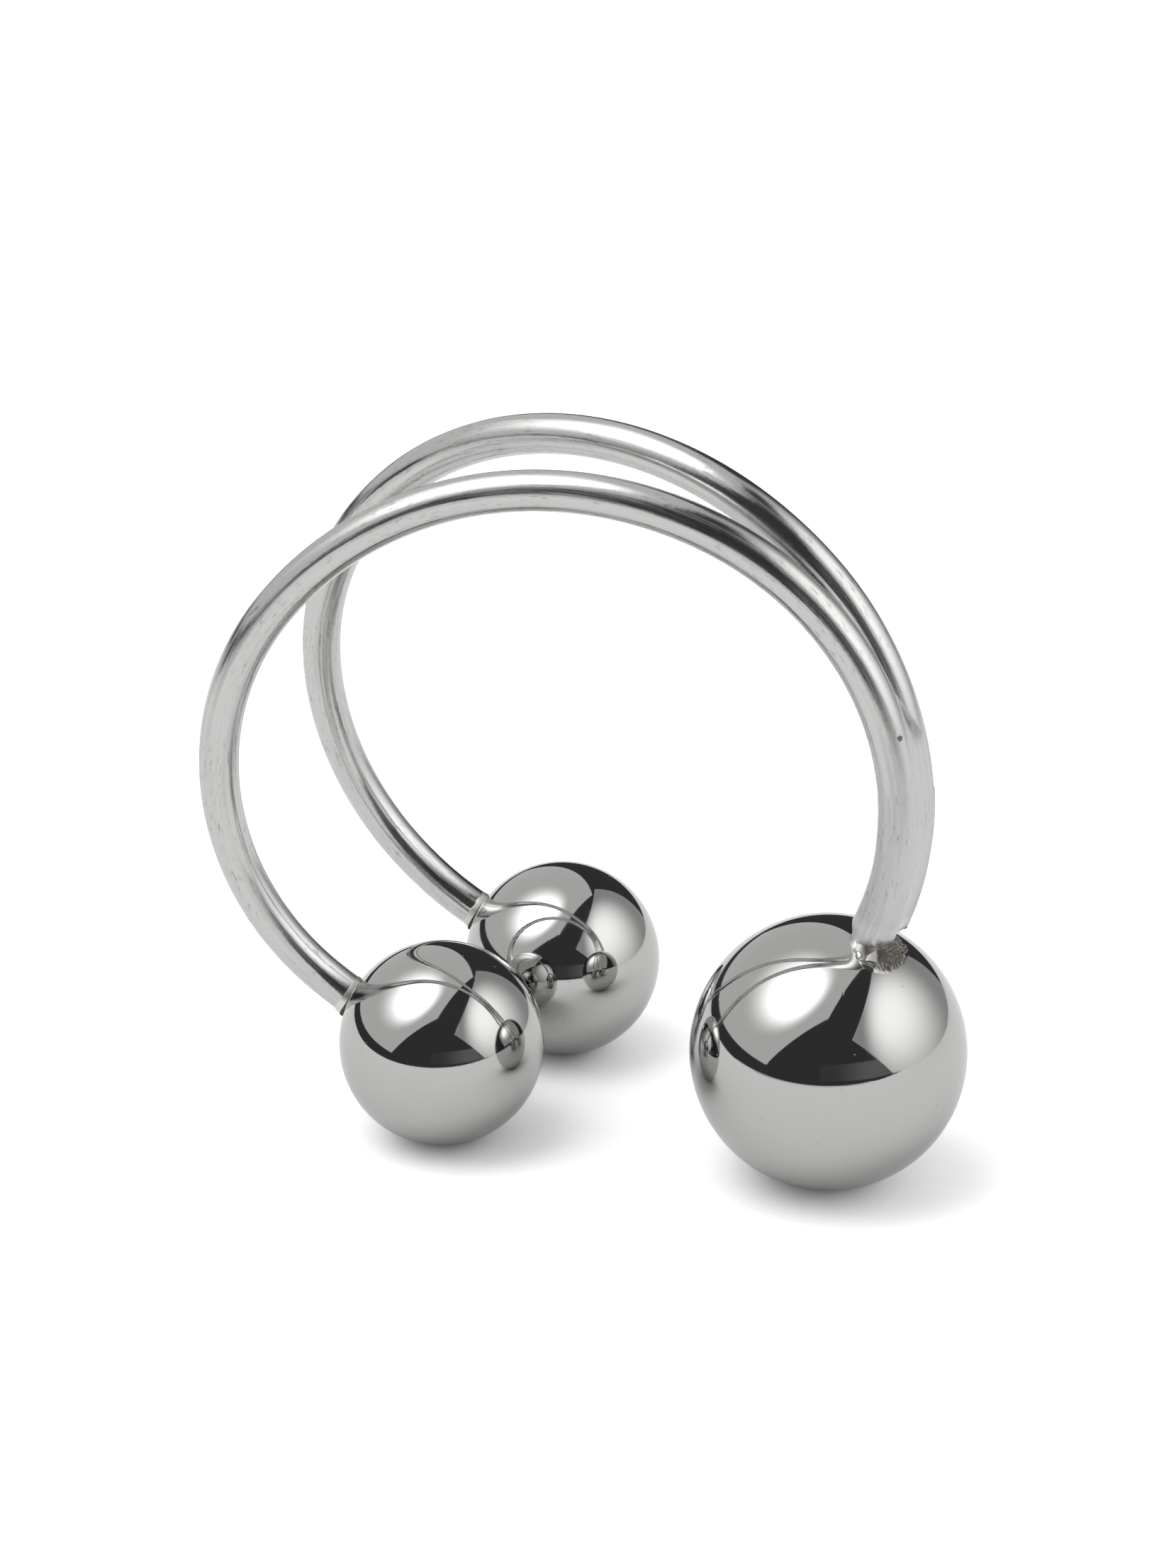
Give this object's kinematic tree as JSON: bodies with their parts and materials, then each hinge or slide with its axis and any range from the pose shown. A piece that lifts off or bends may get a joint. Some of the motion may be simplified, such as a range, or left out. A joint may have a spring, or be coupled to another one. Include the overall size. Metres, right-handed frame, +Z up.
{
  "type": "adjustable ball ring",
  "caption": "Adjustable finger ring of two bent wires soldered to a large polished ball, each free end carrying a small ball.",
  "frame": {"origin": "middle of the ring's outline on the surface that its three balls stand on", "axes": "+Z up, +X from the free ends to the soldered stem and its large ball, and the finger goes through along Y"},
  "size_m": [0.0224, 0.0132, 0.0214],
  "materials": {
    "polished_steel": "mirror-polished stainless steel, with fine scratches on the balls and a slightly duller filed stem"
  },
  "bodies": {
    "root": {"ball_ring": "polished_steel"}
  },
  "joints": []
}
